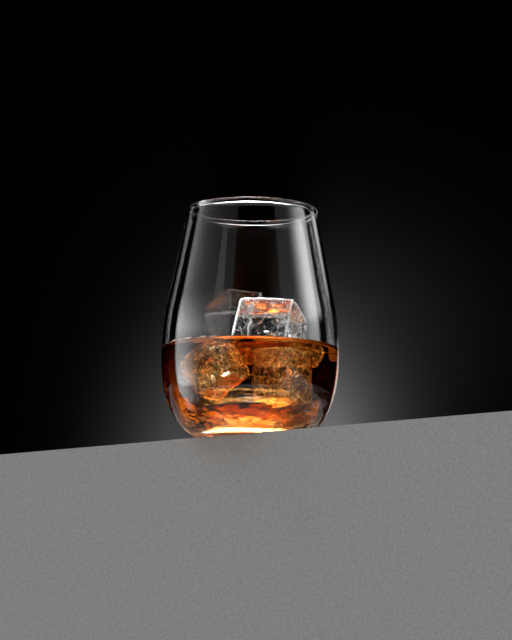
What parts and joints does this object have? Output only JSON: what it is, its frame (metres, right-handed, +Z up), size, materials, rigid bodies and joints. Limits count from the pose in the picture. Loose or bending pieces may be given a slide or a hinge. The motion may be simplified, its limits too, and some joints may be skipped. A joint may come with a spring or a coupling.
{
  "type": "old fashioned cocktail",
  "caption": "Whisky drink over clear ice in a stemless tulip tumbler: thick-based clear glass, amber drink to under half height, ice standing out of it.",
  "frame": {"origin": "middle of the underside of the glass, on the surface it stands on", "axes": "+Z up along the glass's axis of turning, -Y towards the viewer, +X to the viewer's right"},
  "size_m": [0.09, 0.09, 0.118],
  "materials": {
    "clear_glass": "polished, clear, fire-finished lip",
    "amber_whisky": "clear amber liquid, darker where it is deep",
    "clear_ice": "clear melting ice with wet rounded edges and a few cracks and bubbles"
  },
  "bodies": {
    "root": {"glass": "clear_glass", "whisky": "amber_whisky", "ice_left": "clear_ice", "ice_right": "clear_ice", "ice_top": "clear_ice"}
  },
  "joints": []
}
